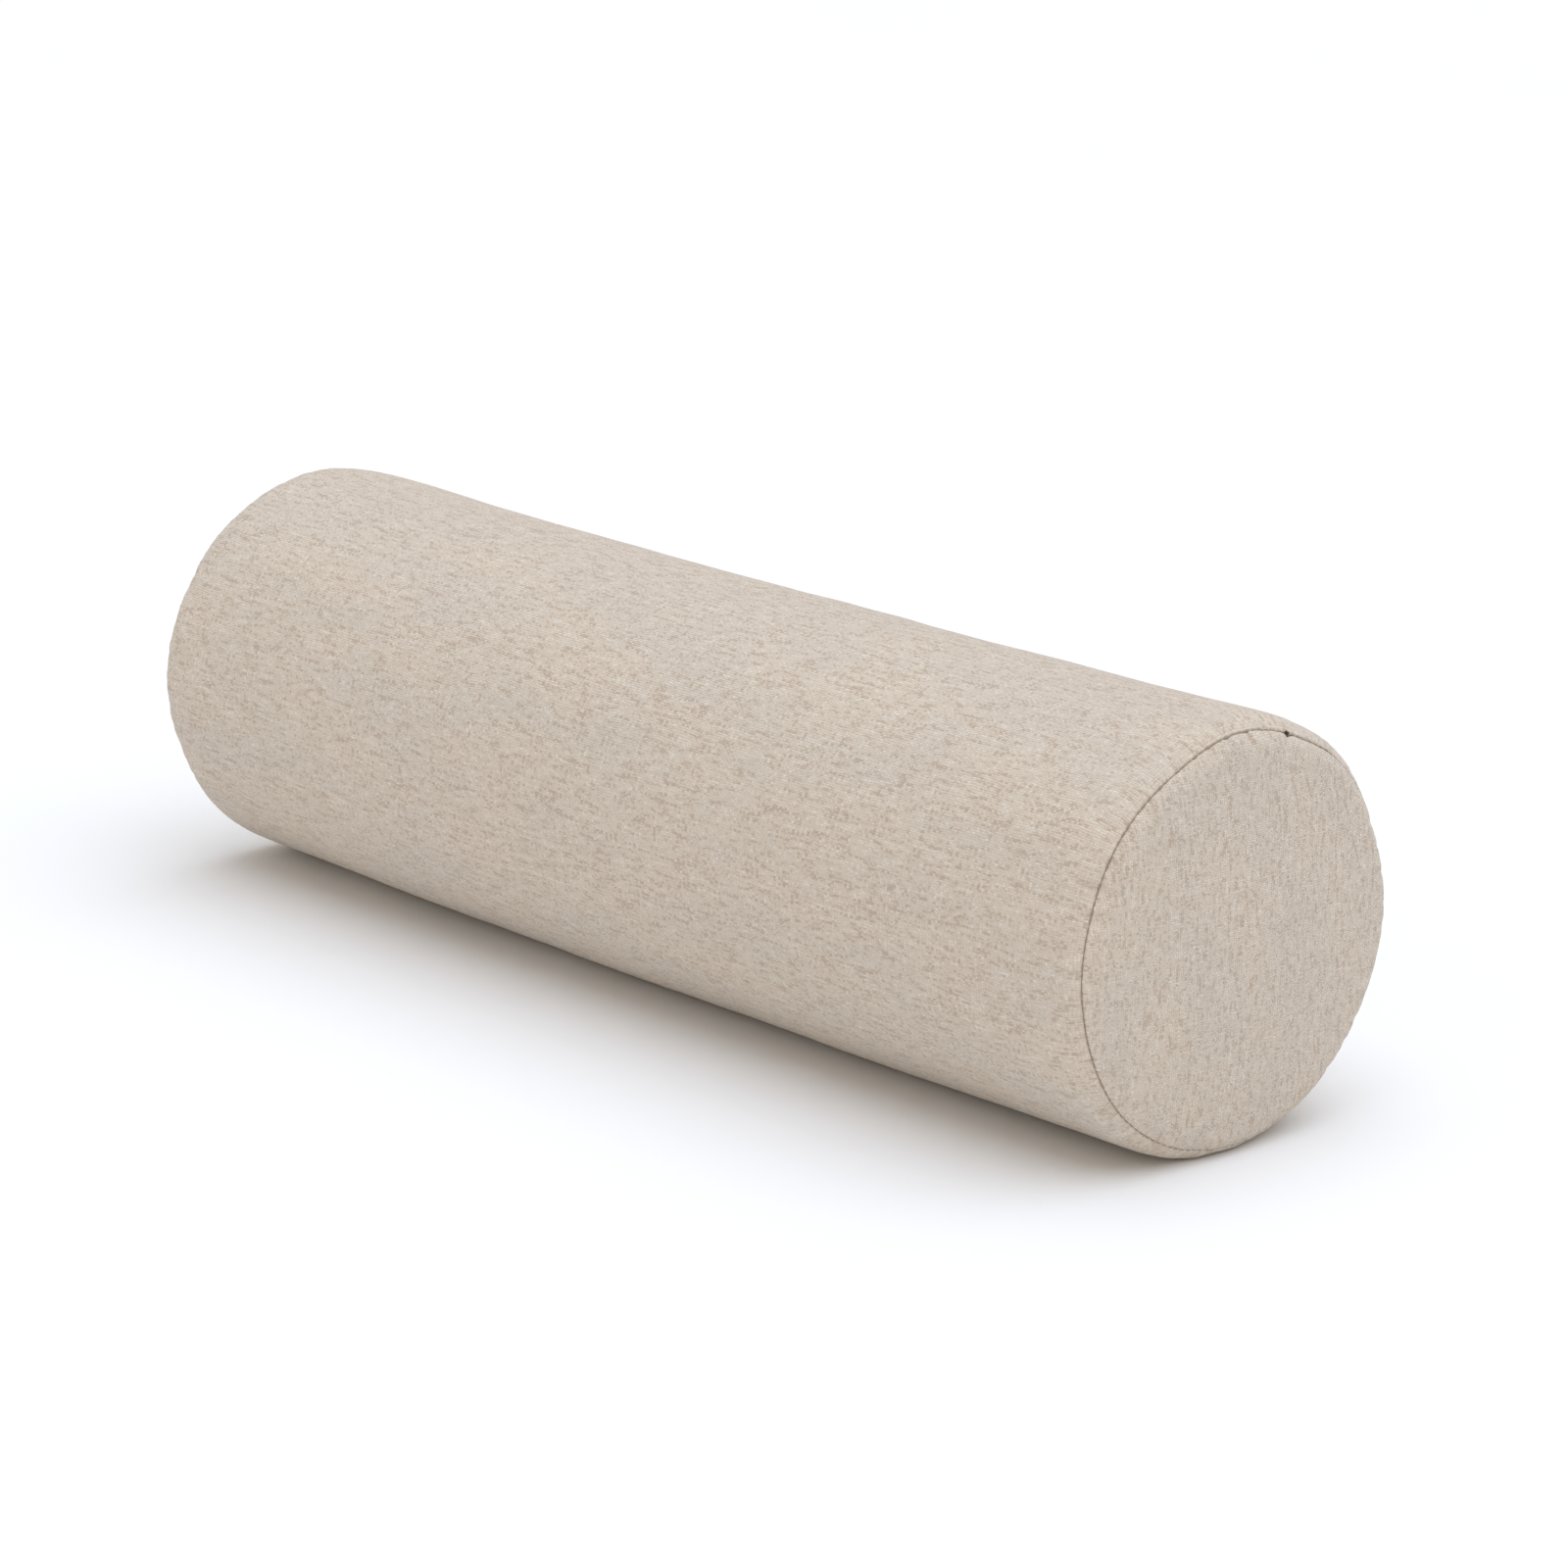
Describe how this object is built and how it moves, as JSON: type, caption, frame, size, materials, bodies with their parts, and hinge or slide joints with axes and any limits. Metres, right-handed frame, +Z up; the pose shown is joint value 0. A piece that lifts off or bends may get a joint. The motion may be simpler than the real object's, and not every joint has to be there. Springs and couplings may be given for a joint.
{
  "type": "bolster pillow",
  "caption": "Round firm bolster pillow with bulging sewn end panels, a removable heathered cloth cover with a concealed zip, a liner, fibre padding and a foam core.",
  "frame": {"origin": "centre of the flat on which the bolster rests, midway between the two ends", "axes": "+X along the bolster's axis towards its right end, +Y towards the zip at the back, +Z up"},
  "size_m": [0.514, 0.15, 0.147],
  "materials": {
    "cover_cloth": "heathered plain weave, matte",
    "cover_thread": "spun sewing thread",
    "overlock_thread": "soft looped thread",
    "zip_tape": "flat woven tape",
    "zip_coil": "translucent-looking matte monofilament",
    "zip_metal": "satin enamel",
    "liner_cloth": "fine plain white weave",
    "liner_thread": "fine spun thread",
    "fibre": "matted loose fibre",
    "foam": "open-cell foam"
  },
  "bodies": {
    "bolster": {"cover_side_panel": "cover_cloth", "cover_end_panel_right": "cover_cloth", "cover_end_panel_left": "cover_cloth", "end_seam_thread_right": "cover_thread", "end_seam_thread_left": "cover_thread", "long_seam_thread": "cover_thread", "overlock_thread_right": "overlock_thread", "overlock_thread_left": "overlock_thread", "zipper_tape_upper": "zip_tape", "zipper_tape_lower": "zip_tape", "zipper_stitching_upper": "cover_thread", "zipper_stitching_lower": "cover_thread", "zipper_coil_upper": "zip_coil", "zipper_coil_lower": "zip_coil", "zipper_top_stops": "zip_metal", "zipper_bottom_stop": "zip_metal", "liner_side_panel": "liner_cloth", "liner_end_panel_right": "liner_cloth", "liner_end_panel_left": "liner_cloth", "liner_end_thread_right": "liner_thread", "liner_end_thread_left": "liner_thread", "liner_long_seam_thread": "liner_thread", "fibre_wrap": "fibre", "fibre_end_pad_right": "fibre", "fibre_end_pad_left": "fibre", "foam_core": "foam"},
    "slider": {"zipper_slider": "zip_metal"},
    "pull_tab": {"zipper_pull_tab": "zip_metal"}
  },
  "joints": [
    {"name": "slider_travel", "type": "slide", "parent": "bolster", "child": "slider", "axis": [1, 0, 0], "range_m": [0, 0.382]},
    {"name": "pull_swing", "type": "hinge", "parent": "slider", "child": "pull_tab", "pos_m": [-0.19, 0.07024, 0.03925], "axis": [0, 0.4226, 0.9063], "range_deg": [0, 188]}
  ]
}
